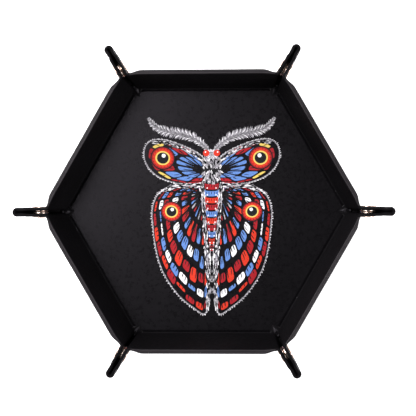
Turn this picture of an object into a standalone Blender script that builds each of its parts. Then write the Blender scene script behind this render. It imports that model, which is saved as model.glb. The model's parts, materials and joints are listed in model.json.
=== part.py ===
"""A folding hexagonal dice tray, shown with its corners snapped so that the walls stand.

A stiffened hexagonal base carries six stiffened walls on leather creases. Between two walls
the leather carries on with no board in it. There a snap fastener pinches it into an ear that
points outwards, and that is what holds the walls up. With the snaps open the whole tray
folds out into one flat hexagon.

Every piece is modelled lying flat, in the frame of the wall or ear leaf that it belongs to.
The empties at the creases then fold it up. A frame's local X runs along its crease or across
its ear, local Y away from the base, and local Z out of the lining.
"""

from math import acos, cos, pi, radians, sin, tan

import bmesh
import bpy

MM = 0.001

# Tray
SIDES = 6
CREASE_APOTHEM = 85.0 * MM  # tray centre to the middle of a base crease
WALL_HEIGHT = 46.0 * MM  # crease to rim, along the wall
FOLD_ANGLE = radians(82.0)  # how far a wall is folded up from flat

# Layers, from the playing side down: lining, board, cover
LEATHER = 0.8 * MM
BOARD = 1.2 * MM
GLUE_GAP = 0.3 * MM
CREASE_CLEARANCE = 0.2 * MM  # each sheet stops this far short of a fold
BOARD_SETBACK = 2.0 * MM  # boards stop this far short of the base crease

# Ends of a wall
BOARD_END = 10.0 * MM  # ear crease to the end of the wall board
JOGGLE = 2.5 * MM  # length over which the cover steps down past the board's end

# Ears
EAR_GAP = 1.15 * MM  # lining of an ear leaf to the middle plane of its ear
EAR_CLEARANCE = 0.15 * MM
LEAF_FOOT = 2.5 * MM  # an ear leaf starts this far up from the base crease
TIP_RADIUS = 6.0 * MM
TIP_ARC_STEPS = 5

# Snap fasteners
SNAP_ACROSS = 6.9 * MM  # ear crease to the snap's axis
SNAP_BELOW_RIM = 10.0 * MM
SNAP_STEPS = 20
SEAT_GAP = 0.1 * MM  # metal to leather, and metal to metal
POST_RADIUS = 1.3 * MM
POST_HOLE_RADIUS = 1.6 * MM
CAP_RADIUS = 5.5 * MM
CAP_EDGE = 0.35 * MM
CAP_DOME = 1.0 * MM
SOCKET_RADIUS = 5.5 * MM
SOCKET_THICKNESS = 1.4 * MM
SOCKET_FLOOR = 0.35 * MM
SOCKET_MOUTH_RADIUS = 2.75 * MM
SOCKET_CHAMBER_RADIUS = 3.2 * MM
STUD_RADIUS = 5.2 * MM
STUD_FLANGE = 0.5 * MM
STUD_HEIGHT = 1.6 * MM
STUD_HEAD_RADIUS = 2.4 * MM
STUD_WAIST_RADIUS = 2.1 * MM
CHAMFER = 0.3 * MM

# Worked out from the above
THICKNESS = 2 * LEATHER + BOARD + 2 * GLUE_GAP
LEAF_THICKNESS = 2 * LEATHER + GLUE_GAP
HALF_CORNER = pi / SIDES
HALF_SIDE = CREASE_APOTHEM * tan(HALF_CORNER)
EAR_LEAN = acos(1 / (1 + (cos(FOLD_ANGLE) * tan(HALF_CORNER)) ** 2) ** 0.5)  # off square to the base crease
EAR_FOLD = acos(sin(FOLD_ANGLE) * sin(HALF_CORNER))  # turn from the wall's plane into the ear's
EAR_CREASE_START = HALF_SIDE - EAR_GAP / cos(HALF_CORNER)
MITRE = tan(EAR_FOLD / 2)  # a layer this deep under the lining stops this far short of the ear crease
SNAP_ALONG = WALL_HEIGHT / cos(EAR_LEAN) - SNAP_BELOW_RIM

COLOURS = {  # base colour, roughness, metallic
    "lining_leather": ((0.012, 0.012, 0.013), 0.45, 0.0),
    "cover_leather": ((0.014, 0.013, 0.014), 0.42, 0.0),
    "greyboard": ((0.30, 0.27, 0.23), 0.9, 0.0),
    "snap_metal": ((0.78, 0.50, 0.34), 0.25, 1.0),
}


def clear_scene():
    for found in list(bpy.data.objects):
        bpy.data.objects.remove(found)


def make_collection():
    collection = bpy.data.collections.new("folding_dice_tray")
    bpy.context.scene.collection.children.link(collection)
    return collection


def make_material(name):
    colour, roughness, metallic = COLOURS[name]
    material = bpy.data.materials.new(name)
    material.use_nodes = True
    shader = material.node_tree.nodes["Principled BSDF"]
    shader.inputs["Base Color"].default_value = (*colour, 1.0)
    shader.inputs["Roughness"].default_value = roughness
    shader.inputs["Metallic"].default_value = metallic
    material.diffuse_color = (*colour, 1.0)
    return material


clear_scene()
COLLECTION = make_collection()
MATERIALS = {name: make_material(name) for name in COLOURS}


def place(name, data, parent=None, location=(0, 0, 0), rotation=(0, 0, 0)):
    """Puts an object with this mesh or curve, or an empty, in its parent's frame."""
    obj = bpy.data.objects.new(name, data)
    COLLECTION.objects.link(obj)
    obj.parent = parent
    obj.location = location
    obj.rotation_euler = rotation
    return obj


# ---- shapes, each a mesh or a curve that its copies share ----


def plate(name, outlines, thickness, material):
    """A flat sheet, half its thickness to each side of local Z 0. Outlines inside the first are holes."""
    curve = bpy.data.curves.new(name, "CURVE")
    curve.dimensions = "2D"
    curve.fill_mode = "BOTH"
    curve.extrude = thickness / 2
    for outline in outlines:
        spline = curve.splines.new("POLY")
        spline.points.add(len(outline) - 1)
        for point, (x, y) in zip(spline.points, outline):
            point.co = (x, y, 0, 1)
        spline.use_cyclic_u = True
    curve.materials.append(MATERIALS[material])
    return curve


def turned(name, profile):
    """The edge line of a turned piece, listed from top to bottom down its outer side."""
    mesh = bpy.data.meshes.new(name)
    shape = bmesh.new()
    points = [shape.verts.new((radius, 0, height)) for radius, height in profile]
    closed = profile[0][0] > 0
    for start, end in zip(points, points[1:] + points[:1] if closed else points[1:]):
        shape.edges.new((start, end))
    shape.to_mesh(mesh)
    shape.free()
    mesh.materials.append(MATERIALS["snap_metal"])
    return mesh


def add_screw(obj):
    screw = obj.modifiers.new("turn", "SCREW")
    screw.steps = screw.render_steps = SNAP_STEPS
    screw.use_merge_vertices = True
    screw.merge_threshold = 0.00001
    screw.use_smooth_shade = True


def add_thickness(obj):
    """Thickens an open surface away from its normals."""
    solidify = obj.modifiers.new("leather", "SOLIDIFY")
    solidify.thickness = LEATHER
    solidify.offset = -1
    solidify.solidify_mode = "NON_MANIFOLD"
    solidify.nonmanifold_thickness_mode = "CONSTRAINTS"


def hexagon(apothem):
    radius = apothem / cos(HALF_CORNER)
    return [(radius * cos(2 * HALF_CORNER * i), radius * sin(2 * HALF_CORNER * i)) for i in range(SIDES)]


def circle(centre, radius, steps):
    return [
        (centre[0] + radius * cos(2 * pi * i / steps), centre[1] + radius * sin(2 * pi * i / steps))
        for i in range(steps)
    ]


def mirrored(points):
    """The same outline on the other side of local X 0, listed the same way round."""
    return [(-x, y) for x, y in reversed(points)]


def wall_end(height, short_of_crease):
    """Local X of a line beside the ear crease, at this height up the wall."""
    return EAR_CREASE_START + height * tan(EAR_LEAN) - short_of_crease / cos(EAR_LEAN)


def mitred_setback(depth):
    """How far a layer stops short of the ear crease when its far face is this deep under the lining."""
    return depth * MITRE + EAR_CLEARANCE


def wall_board_shape():
    bottom = BOARD_SETBACK
    top = WALL_HEIGHT - LEATHER - GLUE_GAP
    short = BOARD_END + GLUE_GAP
    right = [(wall_end(bottom, short), bottom), (wall_end(top, short), top)]
    return plate("wall_board", [right + mirrored(right)], BOARD, "greyboard")


def wall_lining_shape():
    """The lining of a wall with, along the board, the turned edge that closes the rim."""
    setback = mitred_setback(LEATHER)
    lip_x = wall_end(WALL_HEIGHT, BOARD_END)
    right = [
        (wall_end(CREASE_CLEARANCE, setback), CREASE_CLEARANCE),
        (wall_end(WALL_HEIGHT, setback), WALL_HEIGHT),
        (lip_x, WALL_HEIGHT),
    ]
    shape = bmesh.new()
    verts = [shape.verts.new((x, y, 0)) for x, y in right + mirrored(right)]
    shape.faces.new(verts)
    rim_edge = shape.edges.get((verts[2], verts[3]))
    turned_in = bmesh.ops.extrude_edge_only(shape, edges=[rim_edge])
    lip = [item for item in turned_in["geom"] if isinstance(item, bmesh.types.BMVert)]
    bmesh.ops.translate(shape, verts=lip, vec=(0, 0, -(LEATHER + GLUE_GAP + BOARD)))
    return finish_sheet("wall_lining", shape, "lining_leather", up=True)


def wall_cover_shape():
    """The cover of a wall, which steps in towards the lining past each end of the board."""
    shallow, deep = LEAF_THICKNESS, THICKNESS
    setback = mitred_setback(LEAF_THICKNESS)
    across = [(setback, shallow), (BOARD_END - JOGGLE, shallow), (BOARD_END, deep)]
    right = [(wall_end(CREASE_CLEARANCE, short), -depth) for short, depth in across]
    shape = bmesh.new()
    verts = [shape.verts.new((x, CREASE_CLEARANCE, z)) for x, z in right + mirrored(right)]
    low_edge = [shape.edges.new(pair) for pair in zip(verts, verts[1:])]
    raised = bmesh.ops.extrude_edge_only(shape, edges=low_edge)
    rise = WALL_HEIGHT - CREASE_CLEARANCE
    for vert in raised["geom"]:
        if isinstance(vert, bmesh.types.BMVert):
            vert.co.x += rise * tan(EAR_LEAN) * (1 if vert.co.x > 0 else -1)
            vert.co.y += rise
    return finish_sheet("wall_cover", shape, "cover_leather", up=False)


def finish_sheet(name, shape, material, up):
    """Turns the sheet's normals to the side that shows: up out of the lining, or down out of the cover."""
    bmesh.ops.recalc_face_normals(shape, faces=shape.faces)
    largest = max(shape.faces, key=lambda face: face.calc_area())
    if (largest.normal.z > 0) != up:
        bmesh.ops.reverse_faces(shape, faces=shape.faces)
    mesh = bpy.data.meshes.new(name)
    shape.to_mesh(mesh)
    shape.free()
    mesh.materials.append(MATERIALS[material])
    return mesh


def leaf_outline():
    """The ear leaf at a wall's +X end, in the frame of its ear crease."""
    setback = mitred_setback(LEAF_THICKNESS)

    def fold_line(height):
        return HALF_SIDE + height * tan(HALF_CORNER) - CREASE_CLEARANCE / cos(HALF_CORNER)

    tip_x = HALF_SIDE + WALL_HEIGHT * tan(HALF_CORNER)
    centre = (tip_x - TIP_RADIUS * tan(HALF_CORNER), WALL_HEIGHT - TIP_RADIUS)
    first = pi / 2 - HALF_CORNER + CREASE_CLEARANCE / TIP_RADIUS
    arc = [first + (pi / 2 - first) * i / TIP_ARC_STEPS for i in range(TIP_ARC_STEPS + 1)]
    flat = [
        (wall_end(LEAF_FOOT, -setback), LEAF_FOOT),
        (fold_line(LEAF_FOOT), LEAF_FOOT),
        *[(centre[0] + TIP_RADIUS * cos(a), centre[1] + TIP_RADIUS * sin(a)) for a in arc],
        (wall_end(WALL_HEIGHT, -setback), WALL_HEIGHT),
    ]
    moved = [(x - EAR_CREASE_START, y) for x, y in flat]
    turn, rise = cos(EAR_LEAN), sin(EAR_LEAN)
    return [(x * turn - y * rise, x * rise + y * turn) for x, y in moved]


def leaf_shapes():
    """The two handed leaves, each with the hole for its snap's post."""
    outline = leaf_outline()
    hole = circle((SNAP_ACROSS, SNAP_ALONG), POST_HOLE_RADIUS, SNAP_STEPS)
    right = plate("ear_leaf_a", [outline, hole], LEAF_THICKNESS, "cover_leather")
    left = plate("ear_leaf_b", [mirrored(outline), mirrored(hole)], LEAF_THICKNESS, "cover_leather")
    return right, left


def cap_profile(post_top):
    """A domed cap on the cover with its post through the leaf. The dome faces down, out of the ear."""
    seat = -LEAF_THICKNESS - SEAT_GAP
    return [
        (0, post_top),
        (POST_RADIUS, post_top),
        (POST_RADIUS, seat),
        (CAP_RADIUS - CHAMFER, seat),
        (CAP_RADIUS, seat - CHAMFER),
        (CAP_RADIUS - CHAMFER, seat - CAP_EDGE - CHAMFER),
        (CAP_RADIUS * 0.6, seat - CAP_DOME * 0.9),
        (0, seat - CAP_DOME),
    ]


def socket_profile():
    """A ring on the lining, with a chamber that the stud's head snaps into."""
    back = SEAT_GAP
    front = back + SOCKET_THICKNESS
    return [
        (SOCKET_RADIUS - CHAMFER, front),
        (SOCKET_RADIUS, front - CHAMFER),
        (SOCKET_RADIUS, back),
        (POST_HOLE_RADIUS, back),
        (POST_HOLE_RADIUS, back + SOCKET_FLOOR),
        (SOCKET_CHAMBER_RADIUS, back + SOCKET_FLOOR),
        (SOCKET_CHAMBER_RADIUS, front - CHAMFER),
        (SOCKET_MOUTH_RADIUS, front),
    ]


def stud_profile():
    """A flange on the lining with a waisted head, hollow for the post behind it."""
    back = SEAT_GAP
    top = back + STUD_HEIGHT
    return [
        (STUD_HEAD_RADIUS - CHAMFER, top),
        (STUD_HEAD_RADIUS, top - CHAMFER),
        (STUD_WAIST_RADIUS, back + STUD_FLANGE + CHAMFER),
        (STUD_WAIST_RADIUS, back + STUD_FLANGE),
        (STUD_RADIUS, back + STUD_FLANGE),
        (STUD_RADIUS, back),
        (POST_HOLE_RADIUS, back),
        (POST_HOLE_RADIUS, top),
    ]


# ---- the tray ----


def build_base():
    sheet = hexagon(CREASE_APOTHEM - CREASE_CLEARANCE)
    board = hexagon(CREASE_APOTHEM - BOARD_SETBACK)
    layers = [
        ("base_cover", sheet, LEATHER, LEATHER / 2, "cover_leather"),
        ("base_board", board, BOARD, THICKNESS / 2, "greyboard"),
        ("base_lining", sheet, LEATHER, THICKNESS - LEATHER / 2, "lining_leather"),
    ]
    for name, outline, thickness, middle, material in layers:
        place(name, plate(name, [outline], thickness, material), location=(0, 0, middle))


def build_wall(number, shapes):
    """Folds up one wall on its crease, and returns the empty on that crease."""
    outward = HALF_CORNER * (2 * number - 1)
    crease = place(
        f"wall_{number}_crease",
        None,
        location=(CREASE_APOTHEM * cos(outward), CREASE_APOTHEM * sin(outward), THICKNESS),
        rotation=(FOLD_ANGLE, 0, outward - pi / 2),
    )
    lining = place(f"wall_{number}_lining", shapes["lining"], crease)
    add_thickness(lining)
    cover = place(f"wall_{number}_cover", shapes["cover"], crease)
    add_thickness(cover)
    place(f"wall_{number}_board", shapes["board"], crease, location=(0, 0, -THICKNESS / 2))
    return crease


def build_leaf(crease, corner, leaf, shapes):
    """Folds out one leaf of an ear from the wall on this crease, with its half of the snap fastener."""
    side = 1 if leaf == "a" else -1
    ear_crease = place(
        f"ear_{corner}{leaf}_crease",
        None,
        crease,
        location=(side * EAR_CREASE_START, 0, 0),
        rotation=(0, side * EAR_FOLD, -side * EAR_LEAN),
    )
    place(f"ear_{corner}_leaf_{leaf}", shapes[leaf], ear_crease, location=(0, 0, -LEAF_THICKNESS / 2))
    halves = {"a": ("cap", "socket"), "b": ("rivet", "stud")}
    for half in halves[leaf]:
        seat = (side * SNAP_ACROSS, SNAP_ALONG, 0)
        add_screw(place(f"snap_{half}_{corner}", shapes[half], ear_crease, location=seat))


def build_tray():
    right_leaf, left_leaf = leaf_shapes()
    shapes = {
        "lining": wall_lining_shape(),
        "cover": wall_cover_shape(),
        "board": wall_board_shape(),
        "a": right_leaf,
        "b": left_leaf,
        "cap": turned("snap_cap", cap_profile(post_top=SEAT_GAP + SOCKET_FLOOR)),
        "rivet": turned("snap_rivet", cap_profile(post_top=SEAT_GAP + STUD_HEIGHT - CHAMFER)),
        "socket": turned("snap_socket", socket_profile()),
        "stud": turned("snap_stud", stud_profile()),
    }
    build_base()
    for number in range(1, SIDES + 1):
        crease = build_wall(number, shapes)
        build_leaf(crease, number, "a", shapes)
        build_leaf(crease, number % SIDES + 1, "b", shapes)


build_tray()
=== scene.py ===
"""The looks of a folding hexagonal dice tray in black leatherette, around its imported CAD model.

Every wall wears one skin that runs from the floor up its inner side, over the rim and down to the
underside. Where a wall's board ends, the leather goes on into the leaves of the two ears beside it.
The skins are worked out on the flat sheet and then folded, so they bend at the same lines as the CAD.
"""

import json
import random
from math import asin, cos, pi, radians, sin, tan

import bmesh
import bpy
import numpy as np
from mathutils import Matrix, Vector, noise


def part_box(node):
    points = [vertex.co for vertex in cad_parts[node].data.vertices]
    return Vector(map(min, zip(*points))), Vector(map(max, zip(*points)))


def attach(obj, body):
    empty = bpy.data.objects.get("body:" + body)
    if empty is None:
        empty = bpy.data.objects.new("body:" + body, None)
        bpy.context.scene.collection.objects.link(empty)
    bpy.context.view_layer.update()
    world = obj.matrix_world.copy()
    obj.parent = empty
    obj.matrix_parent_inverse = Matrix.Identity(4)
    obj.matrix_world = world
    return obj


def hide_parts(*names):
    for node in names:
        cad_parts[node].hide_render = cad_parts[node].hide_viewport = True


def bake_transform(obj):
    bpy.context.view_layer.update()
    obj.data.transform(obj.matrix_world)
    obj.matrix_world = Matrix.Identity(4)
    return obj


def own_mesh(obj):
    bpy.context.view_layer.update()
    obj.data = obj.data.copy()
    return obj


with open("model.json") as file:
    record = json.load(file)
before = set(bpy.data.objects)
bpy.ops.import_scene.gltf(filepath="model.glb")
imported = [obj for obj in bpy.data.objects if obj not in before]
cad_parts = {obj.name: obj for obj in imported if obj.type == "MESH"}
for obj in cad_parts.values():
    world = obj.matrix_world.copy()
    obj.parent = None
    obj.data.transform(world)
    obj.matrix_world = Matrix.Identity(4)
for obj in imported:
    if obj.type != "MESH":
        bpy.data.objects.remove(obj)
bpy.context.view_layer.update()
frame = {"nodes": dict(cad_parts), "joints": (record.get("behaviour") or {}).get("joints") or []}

MM = 0.001
SIDES = 6
JOINTS = {joint["name"]: joint for joint in frame["joints"]}

# Read from the frame, in metres and radians
WALL_JOINT = JOINTS["wall_2_fold"]  # wall 2 faces along Y
APOTHEM = WALL_JOINT["pos_m"][1]
FLOOR = WALL_JOINT["pos_m"][2]  # top of the floor's lining, and the thickness of base and walls
FOLD = radians(-WALL_JOINT["range_deg"][0])
EAR_FOLD = radians(-JOINTS["ear_2a_fold"]["range_deg"][0])
EAR_START = JOINTS["ear_2a_fold"]["pos_m"][0]
LEAN = asin(JOINTS["ear_2a_fold"]["axis"][0])
HALF_CORNER = pi / SIDES
HALF_SIDE = APOTHEM * tan(HALF_CORNER)
HEIGHT = (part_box("wall_2_lining")[1].z - FLOOR) / sin(FOLD)
LEAF_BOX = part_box("ear_1_leaf_a")
EAR_GAP = min(abs(LEAF_BOX[0].y), abs(LEAF_BOX[1].y))
LEAF = LEAF_BOX[1].y - LEAF_BOX[0].y
A_SIDE = 1 if LEAF_BOX[0].y > 0 else -1

# The pinched corners
ROOT_PULL = 0.9 * MM  # how far the snap draws the ear's root inwards at the rim
ROOT_RADIUS = 2.5 * MM
SEAM = 2.8 * MM  # an ear's skin takes over from its wall's this far before the ear crease
FOOT = 0.4 * MM  # height of a leaf's lowest edge over the floor crease
FOOT_WIDTH = 0.6 * MM  # width of that edge
TIP_RADIUS = 8.0 * MM
LOOP = EAR_GAP + LEAF  # from an ear's middle plane to the outside of its cover
LOOP_START = 0.5 * MM  # height where the outer fold begins to open
LOOP_RISE = 16.0 * MM  # height over which it opens fully
LOOP_SHARE = 0.82  # its length along the ear where it is open, as a share of LOOP
LOOP_LEAST = 0.25 * MM  # and its length at the foot
LOOP_BULGE = 1.12  # how far it bulges out, as a share of its length
SNAP_ACROSS = 6.9 * MM  # ear crease to the snap's axis
SNAP_CLEAR = 6.2 * MM  # from the snap's axis to where the leaves start to lean together
SQUEEZE = 0.5 * MM  # how far each leaf leans in past the snap
EAR_BEND_HEADING = radians(-25)  # about halfway between the leather before the bend and after it
EAR_BEND = (-1.6 * MM, 2.4 * MM)  # where the bend starts and ends, from the crease line

# The walls
BOARD_END = 10.0 * MM  # ear crease to the end of the wall's board
STRIP = 5.5 * MM  # how far a wall's skin reaches in over the floor
END_ZONE = 14.0 * MM  # length of the finer columns at each end of a wall's skin
BOARD_STEP = 0.8 * MM  # a wall starts to get thinner this far before its board's end
BOARD_BEND = 3.0 * MM  # half of the bend where the leather leaves the board
CREASE_RADIUS = 0.35 * MM
CREASE_TURN = CREASE_RADIUS * tan(FOLD / 2)
SKIN = 0.8 * MM
RIM_SEAM = 0.22 * MM  # depth of the seam where lining and cover meet along the rim
RIM_SEAM_SHARE = 0.13  # half of its width, as a share of the rim's
RIM_RADIUS = 0.95 * MM
GROOVE = 0.4 * MM  # depth of the pressed fold line
GROOVE_WIDTH = 1.7 * MM
WAVE = 0.10 * MM  # slow waves in the leather of the walls
WAVES_PER_METRE = 60
WAVE_FADE = 8.0 * MM
SHARP_EDGE = radians(50)
SHARP_METAL = radians(40)

# The print
EMBLEM_X, EMBLEM_Y = 4.0 * MM, -0.5 * MM
PRINT_UNIT = 1.08 * MM  # the moth is drawn in this unit
PRINT_FILM = 0.03 * MM  # height of the lowest ink over the floor
PRINT_STEP = 0.015 * MM  # and of each level over the one below
PRINT_SUNK = 0.2 * MM


# ---- small helpers ----


def smooth(t):
    t = np.clip(t, 0.0, 1.0)
    return t * t * (3 - 2 * t)


def soft_ramp(x, width):
    """0 well below 0, x well above it, and a smooth curve between."""
    return np.where(x < -width, 0.0, np.where(x > width, x, (x + width) ** 2 / (4 * width)))


def soft_step(x, width):
    """The slope of soft_ramp."""
    return np.clip((x + width) / (2 * width), 0.0, 1.0)


def full_turn(steps):
    return [2 * pi * step / steps for step in range(steps)]


def signed_power(x, power):
    """Makes a box with round corners out of a sine or cosine."""
    return np.sign(x) * abs(x) ** power


def spread(*runs):
    """Joins runs of (start, end, steps) into one list of numbers, each run without its last."""
    values = []
    for start, end, steps in runs:
        values += list(np.linspace(start, end, steps, endpoint=False))
    return values + [runs[-1][1]]


def grid_faces(rows, columns, wrap, caps, first=0):
    """Faces over rows and columns of points. wrap closes each row into a ring, caps closes the ends."""
    faces = []
    for row in range(rows - 1):
        here, above = first + row * columns, first + (row + 1) * columns
        for i in range(columns if wrap else columns - 1):
            j = (i + 1) % columns
            faces.append((here + i, here + j, above + j, above + i))
    if caps:
        faces.append(tuple(first + i for i in reversed(range(columns))))
        faces.append(tuple(first + (rows - 1) * columns + i for i in range(columns)))
    return faces


def grid_mesh(name, points, wrap=False, caps=False):
    mesh = bpy.data.meshes.new(name)
    mesh.from_pydata(points.reshape(-1, 3).tolist(), [], grid_faces(*points.shape[:2], wrap, caps))
    mesh.update()
    return mesh


def add_object(name, data):
    obj = bpy.data.objects.new(name, data)
    bpy.context.scene.collection.objects.link(obj)
    return obj


def add_piece(name, mesh, *materials):
    for material in materials:
        mesh.materials.append(material)
    return add_object(name, mesh)


def clean_up(mesh, sharp, weld=False):
    """Makes the faces agree, shades smooth and keeps sharp edges sharp. weld joins points that meet."""
    shape = bmesh.new()
    shape.from_mesh(mesh)
    if weld:
        bmesh.ops.remove_doubles(shape, verts=shape.verts, dist=1e-7)
        bmesh.ops.dissolve_degenerate(shape, edges=shape.edges, dist=1e-7)
    bmesh.ops.recalc_face_normals(shape, faces=shape.faces)
    shape.to_mesh(mesh)
    shape.free()
    mesh.shade_smooth()
    mesh.set_sharp_from_angle(angle=sharp)


def closed_piece(name, points, *materials):
    """Adds a closed piece. Each row of its points is a ring."""
    mesh = grid_mesh(name, points, wrap=True, caps=True)
    clean_up(mesh, SHARP_EDGE)
    return add_piece(name, mesh, *materials)


def wall_matrix(number):
    """From a wall's frame (along the crease, up the wall, out of the lining) to the tray's."""
    outward = HALF_CORNER * (2 * number - 1)
    place = Matrix.Translation((APOTHEM * cos(outward), APOTHEM * sin(outward), FLOOR))
    return place @ Matrix.Rotation(outward - pi / 2, 4, "Z") @ Matrix.Rotation(FOLD, 4, "X")


def corner_matrix(number):
    """From a corner's frame (outwards, round, up from the floor) to the tray's."""
    turn = 2 * HALF_CORNER * (number - 1)
    corner = APOTHEM / cos(HALF_CORNER)
    return Matrix.Rotation(turn, 4, "Z") @ Matrix.Translation((corner, 0, FLOOR))


def moved(points, matrix):
    m = np.array(matrix)
    return points @ m[:3, :3].T + m[:3, 3]


# ---- materials ----


def new_material(name, colour, roughness, metallic=0.0):
    material = bpy.data.materials.new(name)
    material.use_nodes = True
    material.diffuse_color = (*colour, 1)
    tree = material.node_tree
    shader = tree.nodes["Principled BSDF"]
    shader.inputs["Base Color"].default_value = (*colour, 1)
    shader.inputs["Roughness"].default_value = roughness
    shader.inputs["Metallic"].default_value = metallic
    return material, tree, shader, node(tree, "ShaderNodeTexCoord").outputs["Object"]


def node(tree, kind, inputs=None, **settings):
    """A new node. Its inputs are linked where a socket is given, and set where a value is."""
    made = tree.nodes.new(kind)
    for key, value in settings.items():
        setattr(made, key, value)
    for key, value in (inputs or {}).items():
        if isinstance(value, bpy.types.NodeSocket):
            tree.links.new(value, made.inputs[key])
        else:
            made.inputs[key].default_value = value
    return made


def noise_texture(tree, place, scale, detail, roughness=0.5):
    inputs = {"Vector": place, "Scale": scale, "Detail": detail, "Roughness": roughness}
    return node(tree, "ShaderNodeTexNoise", inputs).outputs["Fac"]


def multiply_add(tree, value, factor, more):
    return node(tree, "ShaderNodeMath", {0: value, 1: factor, 2: more}, operation="MULTIPLY_ADD").outputs[0]


def add_bump(tree, shader, strength, distance_mm, height):
    inputs = {"Strength": strength, "Distance": distance_mm * MM, "Height": height}
    bump = node(tree, "ShaderNodeBump", inputs)
    tree.links.new(bump.outputs["Normal"], shader.inputs["Normal"])


def ramp(tree, factor, stops, target):
    """Feeds the target socket with the stops' colours or greys, blended by the factor."""
    made = node(tree, "ShaderNodeValToRGB", {"Fac": factor})
    elements = made.color_ramp.elements
    while len(elements) < len(stops):
        elements.new(0.5)
    for element, (position, value) in zip(elements, stops):
        element.position = position
        element.color = (*value, 1) if isinstance(value, tuple) else (value, value, value, 1)
    tree.links.new(made.outputs["Color"], target)


def leather(name, dark, light, grain_mm, bump_mm, roughness, specular, gloss_tint=(1.0, 1.0, 1.0)):
    """Leatherette: rounded grain cells over fine pores, with faint blotches of colour and gloss."""
    material, tree, shader, place = new_material(name, light, roughness)
    inputs = {"Vector": place, "Scale": 1000 / grain_mm, "Smoothness": 0.6}
    cells = node(tree, "ShaderNodeTexVoronoi", inputs, feature="SMOOTH_F1")
    warp = noise_texture(tree, place, 420.0, 4.0, 0.6)
    pores = noise_texture(tree, place, 5200.0, 2.0, 0.5)
    blotch = noise_texture(tree, place, 38.0, 5.0, 0.62)
    ramp(tree, blotch, [(0.3, dark), (0.7, light)], shader.inputs["Base Color"])
    gloss = [(0.25, roughness - 0.07), (0.75, roughness + 0.08)]
    ramp(tree, warp, gloss, shader.inputs["Roughness"])
    height = multiply_add(tree, warp, 0.5, cells.outputs["Distance"])
    height = multiply_add(tree, pores, 0.22, height)
    add_bump(tree, shader, 0.5, bump_mm, height)
    shader.inputs["Specular IOR Level"].default_value = specular
    shader.inputs["Specular Tint"].default_value = (*gloss_tint, 1)
    return material


def greyboard_material():
    """Raw grey cardboard with short fibres. It is inside, between lining and cover."""
    material, tree, shader, place = new_material("greyboard", (0.32, 0.29, 0.25), 0.9)
    fibres = noise_texture(tree, place, 900.0, 6.0, 0.7)
    stops = [(0.3, (0.24, 0.21, 0.18)), (0.55, (0.33, 0.30, 0.26)), (0.8, (0.42, 0.39, 0.34))]
    ramp(tree, fibres, stops, shader.inputs["Base Color"])
    add_bump(tree, shader, 0.4, 0.1, fibres)
    return material


def snap_material():
    """Rose gold plate, polished, with fine scratches and a little tarnish."""
    colour = (0.95, 0.78, 0.67)
    material, tree, shader, place = new_material("rose_gold_plate", colour, 0.4, metallic=1.0)
    tarnish = noise_texture(tree, place, 260.0, 5.0, 0.6)
    colours = [(0.3, (0.90, 0.68, 0.56)), (0.6, (0.97, 0.83, 0.73))]
    ramp(tree, tarnish, colours, shader.inputs["Base Color"])
    scratches = noise_texture(tree, place, 3500.0, 3.0)
    ramp(tree, scratches, [(0.35, 0.18), (0.7, 0.30)], shader.inputs["Roughness"])
    return material


def ink(name, colour, thinnest):
    """Printed ink that thins in the leather's pores, to this share of its colour."""
    material, tree, shader, place = new_material("ink_" + name, colour, 0.55)
    wear = noise_texture(tree, place, 1100.0, 5.0, 0.7)
    shade = tuple(channel * thinnest for channel in colour)
    ramp(tree, wear, [(0.36, shade), (0.54, colour)], shader.inputs["Base Color"])
    add_bump(tree, shader, 0.35, 0.05, wear)
    shader.inputs["Specular IOR Level"].default_value = 0.12
    return material


LINING = leather(
    "lining_leatherette", dark=(0.0026, 0.0024, 0.0028), light=(0.0040, 0.0038, 0.0043), grain_mm=0.8,
    bump_mm=0.05, roughness=0.29, specular=0.109, gloss_tint=(0.96, 0.913, 1.0),
)
WALL_LINING = leather(
    "wall_leatherette", dark=(0.0046, 0.0043, 0.0048), light=(0.0064, 0.0060, 0.0067), grain_mm=0.55,
    bump_mm=0.05, roughness=0.56, specular=0.026,
)
COVER = leather(
    "cover_leatherette", dark=(0.0055, 0.0051, 0.0057), light=(0.0090, 0.0084, 0.0092), grain_mm=0.9,
    bump_mm=0.14, roughness=0.46, specular=0.20,
)
EDGE = leather(
    "edge_leatherette", dark=(0.0095, 0.0080, 0.0092), light=(0.0165, 0.0140, 0.0160), grain_mm=0.5,
    bump_mm=0.06, roughness=0.5, specular=0.22,
)
GREYBOARD = greyboard_material()
ROSE_GOLD = snap_material()
INKS = {  # colour, and the share of it that is left where the ink is thinnest
    "sky": ((0.11, 0.225, 0.53), 0.7),
    "crimson": ((0.33, 0.010, 0.016), 0.7),
    "orange": ((0.60, 0.035, 0.014), 0.7),
    "yellow": ((0.70, 0.52, 0.12), 0.75),
    "white": ((0.90, 0.90, 0.91), 0.6),
    "grey": ((0.42, 0.41, 0.44), 0.25),
    "black": ((0.007, 0.007, 0.008), 0.8),
}


# ---- folding the sheet ----


def ear_coordinates(x, y):
    """From the flat sheet beside a wall's +X end to (across, along) its ear crease."""
    across = (x - EAR_START) * cos(LEAN) - y * sin(LEAN)
    along = (x - EAR_START) * sin(LEAN) + y * cos(LEAN)
    return across, along


def root_shape(along):
    """How far the root is drawn in here, and the slope and squeeze of the leather that leads to it."""
    pull = ROOT_PULL * np.clip(along / HEIGHT, 0, 1.1)
    slope = pull * sin(EAR_FOLD) / (BOARD_END - pull * cos(EAR_FOLD))
    squeeze = 1 - pull * cos(EAR_FOLD) / BOARD_END
    return pull, slope, squeeze


def wall_point(x, y, depth):
    """A point of a wall's leather, in the wall's frame. Past the board's end it leans in to the root."""
    across, along = ear_coordinates(np.abs(x), y)
    _, slope, squeeze = root_shape(along)
    past_board = soft_ramp(across + BOARD_END, BOARD_BEND)
    step = soft_step(across + BOARD_END, BOARD_BEND)
    angle = np.arctan2(slope * squeeze * step, 1 + (squeeze - 1) * step)
    new_across = across + (squeeze - 1) * past_board - depth * np.sin(angle)
    rise = slope * squeeze * past_board + depth * np.cos(angle)
    return to_wall_frame(new_across, along, rise, np.sign(x))


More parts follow.
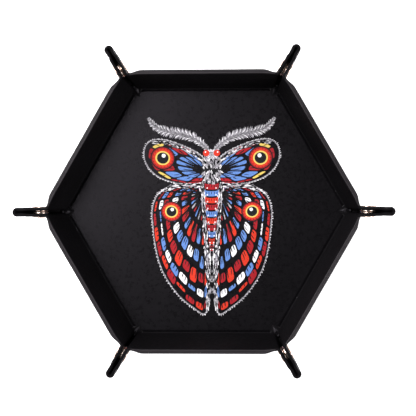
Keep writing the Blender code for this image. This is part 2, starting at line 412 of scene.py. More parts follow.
def to_wall_frame(across, along, rise, side):
    """From an ear crease's axes to the wall's frame. side is 1 at the wall's +X end and -1 at the other."""
    x = EAR_START + across * cos(LEAN) + along * sin(LEAN)
    y = along * cos(LEAN) - across * sin(LEAN)
    return np.stack([side * x, y, rise + 0 * x], axis=-1)


def thickness_at(x, y):
    """A wall's thickness, which drops to the leather's alone past the board's end."""
    start = BOARD_END + BOARD_STEP
    past = smooth((ear_coordinates(abs(x), y)[0] + start) / (start - SEAM))
    return FLOOR + (LEAF - FLOOR) * past


# ---- wall skins ----


def wall_section():
    """The line that a wall's skin follows: (kind, value) from the floor, over the rim, to the underside."""
    runs = (
        ("floor", spread((STRIP, 2.2 * MM, 3), (2.2 * MM, CREASE_TURN, 7))),
        ("fillet", spread((0.0, 1.0, 6))),
        ("inner", spread((0.0, 0.06, 6), (0.06, 1.0, 16))[1:]),
        ("rim_in", spread((0.1, 1.0, 5))),
        ("rim_top", (0.25, 0.38, 0.5, 0.62, 0.75)),
        ("rim_out", spread((0.0, 0.9, 5))),
        ("outer", spread((1.0, 0.0, 16))),
        ("heel", spread((0.1, 1.0, 8))),
        ("under", spread((0.6 * MM, STRIP, 4))),
    )
    return [(kind, value) for kind, values in runs for value in values]


def wall_stations():
    """(share, inset) of each column along the wall. They are finer near its ends."""
    ends = spread((0.0, END_ZONE, 17))
    middle = spread((-1.0, 1.0, 22))[1:-1]
    stations = [(-1, inset) for inset in ends]
    stations += [(share, END_ZONE) for share in middle]
    return stations + [(1, inset) for inset in reversed(ends)]


def seam_x(y):
    """Flat X of the line where the wall's skin ends, at this height."""
    return EAR_START + (y * sin(LEAN) - SEAM) / cos(LEAN)


def station_x(station, y):
    share, inset = station
    return share * (seam_x(y) - inset)


def floor_end(inward):
    """Flat X of the skin's end over the floor, at this distance in from the crease."""
    share = inward / STRIP
    return seam_x(0.0) * (1 - share) + (HALF_SIDE - STRIP * tan(HALF_CORNER)) * share


def groove(away):
    """Depth of the pressed fold line, at this distance from the crease."""
    return GROOVE * (1 - smooth((away - CREASE_TURN) / GROOVE_WIDTH))


def wave(x, y, number):
    """Slow waves where board backs the leather, and none at the floor crease. Each wall has its own."""
    place = Vector((x * WAVES_PER_METRE, y * WAVES_PER_METRE, number * 7.3))
    to_end = ear_coordinates(abs(x), y)[0] + BOARD_END
    board = 1 - smooth((to_end + WAVE_FADE / 2) / WAVE_FADE)
    return WAVE * noise.noise(place) * smooth(y / WAVE_FADE) * board


def from_level(outward, rise):
    """From level and upright distances from the crease to the wall frame's Y and Z."""
    return outward * cos(FOLD) + rise * sin(FOLD), -outward * sin(FOLD) + rise * cos(FOLD)


def crease_point(kind, value, station):
    """One point of a wall's skin at or below its floor crease, in the wall's frame."""
    x = station_x(station, 0.0)
    if kind == "floor":
        y, z = from_level(-value, -groove(value))
    elif kind == "under":
        y, z = from_level(-value, -FLOOR)
    elif kind == "fillet":
        radius = CREASE_RADIUS + groove(0.0)
        angle = FOLD * value
        y, z = from_level(-CREASE_TURN + radius * sin(angle), CREASE_RADIUS - radius * cos(angle))
    else:
        thick = thickness_at(x, 0.0)
        reach = thick + (FLOOR - thick) * value
        angle = -pi / 2 + FOLD * (1 - value)
        y, z = from_level(reach * cos(angle), reach * sin(angle))
    if kind in ("floor", "under"):
        x = x / seam_x(0.0) * floor_end(value)
    return np.array([x, y, z])


def section_point(kind, value, station, number):
    """One point of a wall's skin, in the wall's frame."""
    if kind in ("floor", "under", "fillet", "heel"):
        return crease_point(kind, value, station)
    top = HEIGHT - RIM_RADIUS
    y = {"inner": CREASE_TURN + (top - CREASE_TURN) * value, "outer": top * value}.get(kind, top)
    x = station_x(station, y)
    thick = thickness_at(x, y)
    if kind == "inner":
        depth = -groove(y)
    elif kind == "outer":
        depth = -thick
    elif kind == "rim_in":
        y = top + RIM_RADIUS * sin(value * pi / 2)
        depth = -RIM_RADIUS * (1 - cos(value * pi / 2))
    elif kind == "rim_out":
        y = top + RIM_RADIUS * cos(value * pi / 2)
        depth = -thick + RIM_RADIUS * (1 - sin(value * pi / 2))
    else:
        y = HEIGHT - RIM_SEAM * max(0.0, 1 - abs(value - 0.5) / RIM_SEAM_SHARE)
        depth = -RIM_RADIUS - (thick - 2 * RIM_RADIUS) * value
    return wall_point(x, y, depth + wave(x, y, number))


WALL_MATERIALS = (LINING, COVER, EDGE, WALL_LINING)


def wall_material(kind, value):
    """The material at this place of a wall's section."""
    if kind == "floor":
        return LINING
    if kind == "rim_top" or (kind == "rim_in" and value > 0.5):
        return EDGE
    return WALL_LINING if kind in ("fillet", "inner", "rim_in") else COVER


def build_wall_skin(number):
    section = wall_section()
    points = [[section_point(*at, station, number) for at in section] for station in wall_stations()]
    name = f"wall_{number}_skin"
    mesh = grid_mesh(name, moved(np.array(points), wall_matrix(number)))
    obj = add_piece(name, mesh, *WALL_MATERIALS)
    for face in mesh.polygons:
        at = section[min(vertex % len(section) for vertex in face.vertices)]
        face.material_index = WALL_MATERIALS.index(wall_material(*at))
    mesh.flip_normals()
    mesh.shade_smooth()
    solidify = obj.modifiers.new("leather", "SOLIDIFY")
    solidify.thickness = SKIN
    solidify.offset = -1
    solidify.use_even_offset = False
    split = obj.modifiers.new("sharp_edges", "EDGE_SPLIT")
    split.split_angle = SHARP_EDGE
    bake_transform(obj)
    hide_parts(f"wall_{number}_lining", f"wall_{number}_cover")


# ---- ears ----


def root_path(part, value, along):
    """Where the leather runs near an ear's root: (across, rise, heading) in the ear crease's axes."""
    if part == "leaf":  # value is the distance from the ear crease in the leaf's plane
        return (value * cos(EAR_FOLD), -value * sin(EAR_FOLD), -EAR_FOLD)
    pull, slope, squeeze = root_shape(along)
    lead = np.arctan(slope)
    turn = ROOT_RADIUS * np.tan((EAR_FOLD + lead) / 2)
    root = np.array([-pull * cos(EAR_FOLD), pull * sin(EAR_FOLD)])
    start = root - turn * np.array([np.cos(lead), np.sin(lead)])
    if part == "lead":  # value 0 at the seam, 1 where the bend starts
        seam = np.array([-BOARD_END, 0.0]) + squeeze * (BOARD_END - SEAM) * np.array([1.0, slope])
        return (*(seam + (start - seam) * value), lead)
    # "bend": value 0 to 1 round the bend
    centre = start - ROOT_RADIUS * np.array([-np.sin(lead), np.cos(lead)])
    heading = lead - (lead + EAR_FOLD) * value
    return (*(centre + ROOT_RADIUS * np.array([-np.sin(heading), np.cos(heading)])), heading)


def leaf_start(along):
    """Distance from the ear crease to where the root's bend ends and the flat leaf starts."""
    pull, slope, _ = root_shape(along)
    return ROOT_RADIUS * tan((EAR_FOLD + np.arctan(slope)) / 2) - pull


def fold_line(y):
    """The outer fold of the ear: flat X at this height."""
    return HALF_SIDE + y * tan(HALF_CORNER)


def loop_reach(y):
    """How much of the ear's length its outer loop takes up at this height."""
    return LOOP * smooth((y - LOOP_START) / LOOP_RISE) * LOOP_SHARE + LOOP_LEAST


def leaf_top(share):
    """A point on the leaf's top edge and rounded tip: (across, along), 0 at the root and 1 at the loop."""
    corner_x = fold_line(HEIGHT) - loop_reach(HEIGHT)
    centre_x, centre_y = corner_x - TIP_RADIUS * tan(HALF_CORNER), HEIGHT - TIP_RADIUS
    start_x = EAR_START + HEIGHT * tan(LEAN) + leaf_start(HEIGHT) / cos(LEAN)
    straight = centre_x - start_x
    distance = share * (straight + TIP_RADIUS * HALF_CORNER)
    if distance <= straight:
        return ear_coordinates(start_x + distance, HEIGHT)
    angle = pi / 2 - (distance - straight) / TIP_RADIUS
    return ear_coordinates(centre_x + TIP_RADIUS * cos(angle), centre_y + TIP_RADIUS * sin(angle))


def leaf_foot(share):
    """A point on the leaf's lowest edge: (across, along), 0 at the root and 1 at the loop."""
    along = ear_coordinates(fold_line(FOOT) - loop_reach(FOOT), FOOT)[1]
    return leaf_start(FOOT) + FOOT_WIDTH * share, along


# (part, value) of each ring of an ear's skin, from its seam to the end of the leaf
EAR_STATIONS = [("lead", 0.0), ("lead", 0.5)]
EAR_STATIONS += [("bend", value) for value in spread((0.0, 1.0, 8))]
EAR_STATIONS += [("leaf", value) for value in spread((0.0, 1.0, 22))[1:]]
# (side, share of the height, angle) up a leaf's lining, over its edge and down its cover
EAR_HEIGHTS = spread((0.0, 1.0, 16))
EAR_RING = [("in", share, 0.0) for share in EAR_HEIGHTS]
EAR_RING += [("edge", 1.0, angle) for angle in np.linspace(0, pi, 9)[1:-1]]
EAR_RING += [("out", share, 0.0) for share in reversed(EAR_HEIGHTS)]


def station_ends(part, value):
    """(across, along) of a station's foot and of its top. across means nothing off the leaf."""
    if part == "leaf":
        return leaf_foot(value), leaf_top(value)
    turn = ROOT_RADIUS * tan(EAR_FOLD / 2)
    flat = -SEAM + (SEAM - turn) * value if part == "lead" else (2 * value - 1) * turn
    return tuple((0.0, (y + flat * sin(LEAN)) / cos(LEAN)) for y in (FOOT, HEIGHT))


def ring_places(part, value):
    """(across, body, along, depth) round a station's section. body leaves out the edge's half round."""
    foot, top = station_ends(part, value)
    length, radius = top[1] - foot[1], LEAF / 2
    for side, share, angle in EAR_RING:
        rise = (length - radius) * share
        across = foot[0] + (top[0] - foot[0]) * rise / length
        body = foot[1] + rise
        along = body + (radius * sin(angle) if side == "edge" else 0.0)
        yield across, body, along, {"in": 0.0, "out": -LEAF}.get(side, -radius + radius * cos(angle))


def beside_path(part, value, along, depth):
    """(across, along, rise) of a point at this depth in the leather that follows the root's path."""
    across, rise, heading = root_path(part, value, along)
    return across - depth * sin(heading), along, rise + depth * cos(heading)


def ear_section(part, value):
    """The ring of (across, along, rise) for one station."""
    rows = []
    for across, _, along, depth in ring_places(part, value):
        place = across if part == "leaf" else value
        rows.append(beside_path(part, place, along, depth + squeeze_in(across)))
    return rows


def loop_section(turn):
    """The ring of one step round the outer fold: turn is 0 at the leaf and a quarter turn at the middle."""
    rows = []
    for across, body, along, depth in ring_places("leaf", 1.0):
        reach = loop_reach(body * cos(LEAN) - across * sin(LEAN)) / LOOP * LOOP_BULGE
        apart = EAR_GAP - depth
        across += apart * reach * sin(turn)
        rows.append(beside_path("leaf", across, along, EAR_GAP - apart * cos(turn)))
    return rows


def squeeze_in(across):
    """Past the snap the leaves lean together a little, before they open into the loop."""
    past = across - (SNAP_ACROSS + SNAP_CLEAR)
    return SQUEEZE * smooth(past / (3 * MM)) * (1 - smooth((past - 5 * MM) / (4 * MM)))


def ring_materials(obj):
    """Lining inside, over the edge and on the end faces, and cover outside."""
    for face in obj.data.polygons:
        places = [vertex % len(EAR_RING) for vertex in face.vertices]
        first = max(places) if max(places) - min(places) > 1 else min(places)
        face.material_index = int(len(places) == 4 and EAR_RING[first][0] == "out")


def ear_piece(name, number, side, sections):
    """Adds a closed piece of leather to the ear at one end of a wall."""
    points = to_wall_frame(*np.moveaxis(np.array(sections), -1, 0), side)
    obj = closed_piece(name, moved(points, wall_matrix(number)), WALL_LINING, COVER)
    ring_materials(obj)
    return obj


def ear_bend(side):
    """Where an ear's skin starts and stops turning about its crease, in the wall's frame."""
    pull = root_shape(HEIGHT)[0]
    top = np.array([-pull * cos(EAR_FOLD), HEIGHT, pull * sin(EAR_FOLD)])
    line = top / np.linalg.norm(top)
    across = np.array([cos(EAR_BEND_HEADING), 0.0, sin(EAR_BEND_HEADING)])
    across = across - (across @ line) * line
    across /= np.linalg.norm(across)
    return [Vector(to_wall_frame(*(top / 2 + reach * across), side)) for reach in EAR_BEND]


def build_leaf_skin(corner, leaf, number, side):
    sections = [ear_section(*station) for station in EAR_STATIONS]
    obj = ear_piece(f"ear_{corner}_leaf_{leaf}_skin", number, side, sections)
    start, end = (wall_matrix(number) @ point for point in ear_bend(side))
    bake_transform(obj)
    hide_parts(f"ear_{corner}_leaf_{leaf}")


def build_loop(corner, leaf, number, side):
    """Half of the rolled outer fold, attached to the body of its side of the ear."""
    sections = [loop_section(turn) for turn in spread((0.0, pi / 2, 9))]
    obj = ear_piece(f"ear_{corner}_loop_{leaf}", number, side, sections)
    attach(obj, f"ear_{corner}_{leaf}")
    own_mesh(obj)


def build_ear(corner):
    """Leaf a is at the +X end of the wall after the corner, and leaf b at the -X end of the wall before."""
    for leaf, number, side in (("a", corner, 1), ("b", (corner - 2) % SIDES + 1, -1)):
        build_leaf_skin(corner, leaf, number, side)
        build_loop(corner, leaf, number, side)


# ---- floor ----


def hexagon_points(apothem, height, steps):
    """Rings of points from near the centre to a hexagon's edge, for a grid closed round."""
    rows = []
    for share in spread((0.0, 1.0, steps))[1:]:
        ring = []
        for corner in range(SIDES):
            turns = 2 * HALF_CORNER * corner, 2 * HALF_CORNER * (corner + 1)
            start, end = (np.array([cos(turn), sin(turn)]) for turn in turns)
            for t in np.linspace(0, 1, 12, endpoint=False):
                point = (start * (1 - t) + end * t) * apothem / cos(HALF_CORNER) * share
                ring.append((*point, height))
        rows.append(ring)
    return np.array(rows)


def build_floor_sheet(name, node_name, top, bottom, material):
    """A closed hexagonal sheet between two heights."""
    upper = hexagon_points(APOTHEM - STRIP, top, 14)
    lower = hexagon_points(APOTHEM - STRIP, bottom, 2)[::-1]
    obj = closed_piece(name, np.concatenate([upper, lower]), material)
    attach(obj, "base")
    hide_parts(node_name)


def corner_piece(number, part, points, *materials):
    """Adds a closed piece of the base. Its points are in millimetres from the floor's corner."""
    points = moved(np.array(points) * MM, corner_matrix(number))
    obj = closed_piece(f"corner_{number}_{part}", points, *materials)
    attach(obj, "base")
    return obj


def press_flat(obj):
    """Gives a piece of gathered leather its own copy of its mesh."""
    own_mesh(obj)


def pleat_section(out, half_width, top, bottom, ridge):
    """One section of the pleat, square to the line out through the corner: a soft box and a ridge."""
    ring = []
    for angle in full_turn(20):
        side, up = signed_power(cos(angle), 0.5), signed_power(sin(angle), 0.45)
        height = (top + bottom) / 2 + (top - bottom) / 2 * up
        if up > 0:
            height += ridge * max(0.0, 1 - abs(side) * 1.6) ** 1.5
        ring.append((out, side * half_width, height))
    return ring


def mirrored(half):
    """A closed outline from its +Y half, whose first and last points are on the X axis."""
    return half + [(out, -side, *more) for out, side, *more in reversed(half[1:-1])]


def build_corner_base(number):
    """The corner of the base between two skins, with a nose that tapers down to the underside."""
    seam, floor, tuck = (HALF_SIDE - seam_x(0.0)) / MM, FLOOR / MM, 0.35
    outline = mirrored([
        (-STRIP / MM / cos(HALF_CORNER), 0.0), (-seam * sin(HALF_CORNER), seam * cos(HALF_CORNER)),
        (-1.0, 3.9), (0.4, 2.9), (1.4, 2.5), (2.1, 1.5), (2.3, 0.0),
    ])
    levels = (  # height, share of the nose's length, and how far the sides reach in under the skins
        (0.0, 1.0, 0.0), (-0.12, 0.98, tuck), (-1.0, 0.78, tuck), (-2.0, 0.5, tuck),
        (-2.9, 0.2, tuck), (-floor + 0.12, 0.05, tuck), (-floor, 0.0, 0.0),
    )
    rows = []
    for height, nose, under in levels:
        row = []
        for out, side in outline:
            if out > 0:
                row.append((out * nose, side * (0.75 + 0.25 * nose), height))
            else:
                row.append((out - under * 0.5, side + under * np.sign(side), height))
        rows.append(row)
    obj = corner_piece(number, "base", rows, WALL_LINING, COVER)
    *sides, _, bottom = obj.data.polygons
    for face in (*sides, bottom):
        face.material_index = 1


def build_gusset(number):
    """The low fold of lining that closes the corner between two wall skins."""
    outline = mirrored([  # out, side and height
        (-3.6, 0.0, -0.1), (-3.0, 2.2, -0.1), (-2.2, 3.9, -0.3), (-1.75, 4.7, 0.7),
        (-0.4, 4.0, 0.9), (0.9, 2.6, 1.0), (1.6, 1.2, 1.2), (1.8, 0.0, 1.2),
    ])
    rows = [[(out * 0.9, side * 0.95, -0.6) for out, side, top in outline]]
    for share in (1.0, 0.85, 0.65, 0.4, 0.15):
        row = []
        for out, side, top in outline:
            row.append((out * share, side * share, max(top, 0.0) * share**1.5 + min(top, 0.0)))
        rows.append(row)
    press_flat(corner_piece(number, "gusset", rows, WALL_LINING))


def build_pleat(number):
    """The pinch of lining that runs up the corner, from the floor to the foot of the ear."""
    sections = (  # out, half width, top, bottom and ridge
        (-5.0, 0.15, 0.02, -0.6, 0.0),
        (-3.6, 0.9, 0.15, -0.6, 0.15),
        (-2.0, 1.7, 0.5, -0.6, 0.45),
        (-0.6, 2.2, 1.3, -0.6, 0.9),
        (0.8, 2.2, 2.6, -0.6, 0.8),
        (1.8, 1.7, 3.6, 0.2, 0.5),
        (2.5, 0.8, 3.8, 1.6, 0.1),
    )
    rows = [pleat_section(*section) for section in sections]
    press_flat(corner_piece(number, "pleat", rows, LINING))


# ---- snap fasteners ----


def turned_mesh(name, profile, steps=48):
    """A piece turned about Z, from a profile in millimetres that starts on the axis or closes on itself."""
    if profile[0][0] != 0:
        profile = profile + profile[:1]
    rows = [[(r * cos(a), r * sin(a), height) for a in full_turn(steps)] for r, height in profile]
    mesh = grid_mesh(name, np.array(rows) * MM, wrap=True)
    clean_up(mesh, SHARP_METAL, weld=True)
    mesh.materials.append(ROSE_GOLD)
    return mesh


def rounded(corners, steps=4):
    """A profile with its corners rounded: each corner is (radius, height, rounding)."""
    line = []
    for i, (radius, height, rounding) in enumerate(corners):
        here = Vector((radius, height))
        if rounding == 0 or i in (0, len(corners) - 1):
            line.append((radius, height))
            continue
        near = (Vector(corners[k][:2]) - here for k in (i - 1, i + 1))
        back, ahead = (way.normalized() * rounding for way in near)
        for step in range(steps + 1):
            t = step / steps
            point = here + back * (1 - t) ** 2 + ahead * t**2
            line.append((point.x, point.y))
    return line


def snap_profiles():
    """The four turned pieces, in millimetres, with Z 0 at the leaf's lining and +Z into the ear."""
    seat = -LEAF / MM - 0.05
    cap = rounded([
        (0, 0.45, 0), (1.3, 0.45, 0.2), (1.3, seat, 0), (5.0, seat, 0.1), (5.5, seat - 0.12, 0.2),
        (5.5, seat - 0.5, 0.3), (5.0, seat - 0.8, 0.35), (4.2, seat - 0.72, 0.25),
        (3.4, seat - 0.88, 0.4), (1.8, seat - 1.02, 0.5), (0, seat - 1.05, 0),
    ])
    socket = rounded([
        (4.2, 1.5, 0), (5.1, 1.45, 0.5), (5.5, 0.8, 0.5), (5.3, 0.1, 0.25), (1.6, 0.1, 0.1),
        (1.6, 0.45, 0), (3.2, 0.45, 0.1), (3.2, 1.15, 0.1), (2.75, 1.45, 0.1), (3.4, 1.3, 0.2),
    ])
    rivet = [(radius, 1.4 if height > 0.2 else height) for radius, height in cap]
    stud = rounded([
        (2.0, 1.7, 0), (2.4, 1.45, 0.2), (2.1, 0.9, 0.2), (2.1, 0.6, 0.1), (3.6, 0.55, 0.2),
        (4.4, 0.7, 0.2), (5.2, 0.5, 0.25), (5.2, 0.1, 0.1), (1.6, 0.1, 0.1), (1.6, 1.6, 0.1),
    ])
    return {"cap": cap, "socket": socket, "rivet": rivet, "stud": stud}


def build_snaps():
    shapes = {kind: turned_mesh("snap_" + kind, profile) for kind, profile in snap_profiles().items()}
    low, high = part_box("snap_cap_1")
    axis_x, axis_z = (low.x + high.x) / 2, (low.z + high.z) / 2
    for corner in range(1, SIDES + 1):
        turn = Matrix.Rotation(2 * HALF_CORNER * (corner - 1), 4, "Z")
        for kind, mesh in shapes.items():
            leaf, side = ("a", A_SIDE) if kind in ("cap", "socket") else ("b", -A_SIDE)
            seat = Matrix.Translation((axis_x, side * EAR_GAP, axis_z))
            obj = add_object(f"snap_{kind}_{corner}_turned", mesh)
            obj.matrix_world = turn @ (seat @ Matrix.Rotation(side * pi / 2, 4, "X"))
            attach(obj, f"ear_{corner}_{leaf}")
            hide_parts(f"snap_{kind}_{corner}")


# ---- the print: a generic moth ----


class Print:
    """Collects flat plates of ink by colour. Each plate is sunk a little into the leather."""

    def __init__(self):
        self.plates = {}

    def plate(self, colour, level, outline):
        self.plates.setdefault(colour, []).append((level, outline))

    def both(self, colour, level, outline):
        """The plate and its mirror image on the moth's other side."""
        self.plate(colour, level, outline)
        self.plate(colour, level, [(-x, y) for x, y in reversed(outline)])

    def build(self, colours):
        for colour, plates in self.plates.items():
            vertices, faces = [], []
            for level, outline in plates:
                faces += grid_faces(2, len(outline), wrap=True, caps=True, first=len(vertices))
                for height in (FLOOR - PRINT_SUNK, FLOOR + PRINT_FILM + PRINT_STEP * level):
                    for x, y in outline:
                        vertices.append((EMBLEM_X + x * PRINT_UNIT, EMBLEM_Y + y * PRINT_UNIT, height))
            mesh = bpy.data.meshes.new("print_" + colour)
            mesh.from_pydata(vertices, [], faces)
            obj = add_piece("print_" + colour, mesh, ink(colour, *colours[colour]))
            clean_up(mesh, SHARP_EDGE)
            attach(obj, "base")


def curve_point(points, t):
    """A point on a smooth curve through the points, with t from 0 to 1."""
    last = len(points) - 1
    position = min(max(t, 0.0), 1.0) * last
    i = min(int(position), last - 1)
    f = position - i
    near = (min(max(k, 0), last) for k in (i - 1, i, i + 1, i + 2))
    p0, p1, p2, p3 = (np.array(points[k], float) for k in near)
    return 0.5 * (
        2 * p1 + (p2 - p0) * f + (2 * p0 - 5 * p1 + 4 * p2 - p3) * f**2 + (3 * p1 - p0 - 3 * p2 + p3) * f**3
    )


def step_along(path, t, step):
    """Where a path is at t and a step further on, and its directions ahead and to the side."""
    here, there = curve_point(path, t), curve_point(path, t + step)
    ahead = (there - here) / (np.hypot(*(there - here)) or 1e-6)
    return here, there, ahead, np.array([-ahead[1], ahead[0]])


def disc(x, y, radius, stretch=1.0, turn=0.0, steps=28):
    """A round plate, or an oval one that is stretched along its own X and then turned."""
    points = []
    for a in full_turn(steps):
        u, v = radius * cos(a) * stretch, radius * sin(a)
        points.append((x + u * cos(turn) - v * sin(turn), y + u * sin(turn) + v * cos(turn)))
    return points


def stroke(start, end, width, bow=0.0, steps=6):
    """A brush stroke that swells in the middle and runs out to a point at both ends."""
    start, end = np.array(start, float), np.array(end, float)
    along = end - start
    length = np.hypot(*along) or 1e-6
    side = np.array([-along[1], along[0]]) / length
    upper, lower = [], []
    for i in range(1, steps):
        t = i / steps
        middle = start + along * t + side * bow * length * sin(pi * t)
        half = width / 2 * sin(pi * t) ** 0.6
        upper.append(tuple(middle + side * half))
        lower.append(tuple(middle - side * half))
    return [tuple(start)] + lower + [tuple(end)] + list(reversed(upper))


def wing_cell(root, margin, t0, t1, r0, r1, gap, steps=20):
    """A rounded cell of a wing, between two veins and two distances from the root."""
    outline = []
    for a in full_turn(steps):
        u, v = signed_power(cos(a), 0.55), signed_power(sin(a), 0.55)
        r = (r0 + r1) / 2 + (r1 - r0) / 2 * v
        left, right = (root + (curve_point(margin, t) - root) * r for t in (t0, t1))
        width = np.hypot(*(right - left)) or 1e-6
        share = 0.5 + u * max(0.08, 0.5 - gap / (2 * width))
        outline.append(tuple(left + (right - left) * share))
    return list(reversed(outline))


def draw_wing(art, rng, root, margin, veins, bands, gap, strokes):
    """Rows of coloured cells between the veins, each with a few dark brush strokes."""
    for i in range(veins):
        t0, t1 = i / veins, (i + 1) / veins
        for r0, r1, colours in bands:
            low, high = r0 + rng.uniform(-0.02, 0.02), r1 + rng.uniform(-0.025, 0.02)
            colour = colours[i % len(colours)]
            art.both(colour, 0, wing_cell(root, margin, t0, t1, low, high, gap * rng.uniform(0.8, 1.4)))
            for k in range(strokes):
                t = t0 + (t1 - t0) * ((k + 1) / (strokes + 1) + rng.uniform(-0.06, 0.06))
                edge = curve_point(margin, t)
                start = root + (edge - root) * (low - 0.01)
                end = root + (edge - root) * (low + (high - low) * rng.uniform(0.45, 0.8))
                art.both("black", 1, stroke(start, end, rng.uniform(0.4, 0.8), rng.uniform(-0.05, 0.05)))


def draw_margin(art, rng, root, margin, count):
    """A pale line round a wing, with a short fringe."""
    for i in range(count):
        here, there = (root + (curve_point(margin, t / count) - root) * 1.015 for t in (i, i + 1))
        lap = (there - here) * 0.35
        art.both("grey", 1, stroke(here - lap, there + lap, rng.uniform(0.6, 1.0)))
        outward = (here - root) / np.hypot(*(here - root))
        fringe = here + outward * rng.uniform(0.7, 1.5) + lap * rng.uniform(-1, 1)
        art.both("white", 2, stroke(here, fringe, 0.4))


def draw_fur(art, rng, path, width, count):
    """A band of short hairs that lie along a path, pale over dark."""
    for i in range(count):
        t = rng.uniform(0.0, 0.97)
        here, _, ahead, side = step_along(path, t, 0.02)
        half = width / 2 * (0.45 + 0.55 * sin(pi * min(1.0, t + 0.15)))
        start = here + side * rng.uniform(-half, half)
        end = start + ahead * rng.uniform(1.8, 4.2) + side * rng.uniform(-0.5, 0.5)
        colour, level = (("grey", 3), ("grey", 3), ("white", 5), ("grey", 4), ("black", 6))[i % 5]
        art.both(colour, level, stroke(start, end, rng.uniform(0.5, 0.95)))


def draw_eyespot(art, x, y, radius):
    rings = (("black", 1.0), ("crimson", 0.90), ("orange", 0.80), ("yellow", 0.60), ("black", 0.47))
    for level, (colour, share) in enumerate(rings):
        art.both(colour, 7 + level, disc(x, y, radius * share, 1.06, 0.3))
    art.both("white", 13, disc(x - radius * 0.08, y + radius * 0.2, radius * 0.17))
    for a in full_turn(18):
        points = [(x + r * cos(a) * 1.06, y + r * sin(a)) for r in (radius * 0.70, radius * 0.86)]
        art.both("black", 12, stroke(*points, 0.3))


def hair_colour(i, every):
    """White for every second or third hair, and grey for the rest."""
    return "white" if i % every == 0 else "grey"


def draw_antenna(art, rng):
    """A feathered antenna: a tapered shaft with a fringe of barbs on each side."""
    path = [(1.6, 38.5), (5.5, 43), (12, 47.5), (20, 50), (28.5, 51.5), (36, 54.5), (40.5, 60)]
    steps = 64
    for i in range(steps):
        t = i / steps
        here, there, ahead, side = step_along(path, t, 1 / steps)
        lap = (there - here) * 0.4
        art.both("grey", 1, stroke(here - lap, there + lap, 1.3 * (1 - 0.6 * t)))
        reach = 4.6 * sin(pi * min(1.0, 0.1 + 0.86 * t)) ** 0.8 * rng.uniform(0.75, 1.15)
        for sign in (-1, 1):
            tip = here + side * sign * reach * 0.8 + ahead * reach * 0.9
            art.both(hair_colour(i, 3), 0, stroke(here, tip, 0.7, -0.14 * sign))


def draw_thorax(art, rng):
    """A dark oval under a thick coat of short hairs that point away from its middle."""
    middle = 27
    art.plate("black", 3, disc(0, middle, 9.5, 0.66))
    for i in range(170):
        a, r = rng.uniform(0, 2 * pi), rng.uniform(0.0, 1.0) ** 0.5
        x, y = 5.4 * r * cos(a), middle + 8.6 * r * sin(a)
        reach = rng.uniform(1.8, 3.4)
        lean = rng.uniform(-0.5, 0.5) + x * 0.09
        end = (x + reach * sin(lean), y + reach * cos(lean) * (1 if y > middle else -1))
        art.plate(hair_colour(i, 3), 4 + i % 3, stroke((x, y), end, rng.uniform(0.4, 0.75)))


def draw_head(art, rng):
    """A furry head with two round eyes."""
    middle = 37.0
    art.plate("grey", 4, disc(0, middle, 3.0, 1.2))
    for i, a in enumerate(full_turn(26)):
        reach = (1.8, 4.0 + rng.uniform(-0.4, 0.5))
        start, end = ((r * cos(a), middle + r * 0.8 * sin(a)) for r in reach)
        art.plate(hair_colour(i + 1, 2), 5, stroke(start, end, 0.55))
    art.both("orange", 7, disc(3.4, 37.6, 2.1))
    art.both("white", 8, disc(3.9, 38.3, 0.5))


def draw_abdomen(art):
    """Bowed bands, narrower towards the tail, with dark hairs and a pale dot at each side."""
    segments = 10
    bow = np.linspace(-pi / 2, pi / 2, 11)
    for i in range(segments):
        y = 17.5 - 4.4 * i
        half = 4.2 * (1 - (i / (segments + 0.6)) ** 1.6) + 0.4
        band = [(half * sin(a), y + 0.9 - cos(a)) for a in bow]
        band += [(half * 0.94 * sin(a), y - 2.4 - cos(a)) for a in reversed(bow)]
        art.plate(("crimson", "sky", "orange")[i % 3], 7, list(reversed(band)))
        for k in range(5):
            x = half * (k - 2) / 2.6
            art.plate("black", 8, stroke((x, y - 0.2), (x * 0.96, y - 2.2), 0.45))
        art.both("white", 8, disc(half * 0.62, y - 2.4, 0.42))


FOREWING_ROOT = np.array((3.5, 26.0))
FOREWING = [
    (3, 32), (9, 37.5), (18, 42), (28, 45.5), (37, 46), (42, 42), (43, 35), (40, 28), (34, 22.5),
    (25, 19), (15, 17.5), (6, 18),
]
HINDWING_ROOT = np.array((4.0, 13.0))
HINDWING = [
    (8, 16), (18, 17), (28, 15.5), (35, 10), (38, 1), (37.5, -10), (36, -22), (33, -34), (27.5, -45),
    (20, -54.5), (12, -61), (5, -65), (2.4, -58), (2.2, -45), (2.6, -30), (3.6, -14), (4.6, -2),
]
# Rows of cells: start and end as shares of the way from the root to the margin, and their colours
FOREWING_BANDS = (
    (0.22, 0.50, ("sky",)),
    (0.55, 0.80, ("sky", "sky", "crimson")),
    (0.85, 0.95, ("yellow", "crimson", "crimson")),
)
HINDWING_BANDS = (
    (0.14, 0.28, ("sky", "grey", "crimson")),
    (0.34, 0.47, ("orange", "crimson", "sky")),
    (0.53, 0.64, ("sky", "white", "sky")),
    (0.70, 0.79, ("crimson", "orange")),
    (0.83, 0.89, ("white", "sky")),
    (0.925, 0.975, ("orange", "crimson")),
)
# Bands of fur: a path, its width and the number of hairs
FUR = (
    ([(3, 30), (9, 35.5), (18, 40.5), (28, 44), (36, 44.5)], 2.2, 130),
    ([(7, 19), (4.8, 6), (3.4, -12), (2.4, -32), (2.0, -50), (3.0, -62)], 4.2, 260),
    ([(5, 17.5), (14, 16.5), (24, 16.5), (33, 12.5)], 3.0, 130),
)


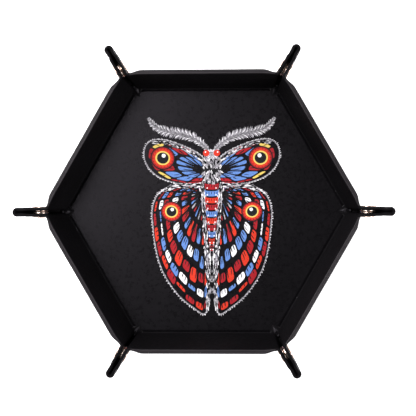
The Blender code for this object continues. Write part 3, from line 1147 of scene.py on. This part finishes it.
def build_print():
    rng = random.Random(11)
    art = Print()
    draw_wing(art, rng, FOREWING_ROOT, FOREWING, veins=9, bands=FOREWING_BANDS, gap=1.1, strokes=1)
    draw_wing(art, rng, HINDWING_ROOT, HINDWING, veins=19, bands=HINDWING_BANDS, gap=1.2, strokes=2)
    draw_margin(art, rng, FOREWING_ROOT, FOREWING, 60)
    draw_margin(art, rng, HINDWING_ROOT, HINDWING, 96)
    for path, width, count in FUR:
        draw_fur(art, rng, path, width, count)
    draw_eyespot(art, 31.5, 34.5, 7.6)
    draw_eyespot(art, 26, 0, 6.6)
    draw_antenna(art, rng)
    draw_thorax(art, rng)
    draw_head(art, rng)
    draw_abdomen(art)
    art.build(INKS)


# ---- stage ----


LIGHTS = (  # name, place, size and power
    ("back", (-0.23, 1.28, 1.09), 1.0, 12),
    ("key", (-1.0, 0.84, 1.09), 1.0, 15),
    ("front", (-1.22, -0.45, 1.09), 1.0, 7),
    ("right", (1.22, -0.45, 1.09), 1.0, 21),
    ("sheen", (-0.47, 0.24, 1.2), 0.5, 12.6),
)
LIGHT_COLOUR = (1.0, 0.965, 1.0)
CAMERA_PLACE = (0.0516, 0.0169, 1.0)  # almost straight above
CAMERA_TURN = (radians(-0.87), radians(2.88), radians(-0.18))
CAMERA_LENS = 124.1


def build_studio_floor():
    bpy.ops.mesh.primitive_plane_add(size=6)
    floor = bpy.context.object
    floor.name = "studio_floor"
    floor.location.z = -0.2 * MM
    material, _, shader, _ = new_material("studio_floor", (0.93, 0.93, 0.93), 0.9)
    shader.inputs["Emission Color"].default_value = (1, 1, 1, 1)
    shader.inputs["Emission Strength"].default_value = 0.75
    floor.data.materials.append(material)


def build_lights():
    world = bpy.data.worlds.new("studio")
    bpy.context.scene.world = world
    world.use_nodes = True
    background = world.node_tree.nodes["Background"]
    background.inputs["Color"].default_value = (1, 1, 1, 1)
    background.inputs["Strength"].default_value = 0.10
    for name, place, size, power in LIGHTS:
        light = bpy.data.lights.new(name, "AREA")
        light.size = size
        light.energy = power
        light.color = LIGHT_COLOUR
        lamp = add_object(name, light)
        lamp.location = place
        lamp.rotation_euler = (-Vector(place)).to_track_quat("-Z", "Y").to_euler()


def build_camera():
    camera = bpy.data.cameras.new("camera")
    camera.lens = CAMERA_LENS
    obj = add_object("camera", camera)
    obj.location = CAMERA_PLACE
    obj.rotation_euler = CAMERA_TURN
    bpy.context.scene.camera = obj
    bpy.context.scene.view_settings.view_transform = "Standard"


build_camera()
build_studio_floor()
build_lights()
for wall in range(1, SIDES + 1):
    build_wall_skin(wall)
for corner in range(1, SIDES + 1):
    build_ear(corner)
    build_corner_base(corner)
    build_gusset(corner)
    build_pleat(corner)
build_floor_sheet("floor_skin", "base_lining", FLOOR, FLOOR - SKIN, LINING)
build_floor_sheet("base_cover_skin", "base_cover", SKIN, 0.0, COVER)
for name in ["base_board"] + [f"wall_{wall}_board" for wall in range(1, SIDES + 1)]:
    frame["nodes"][name].material_slots[0].material = GREYBOARD
build_print()
build_snaps()
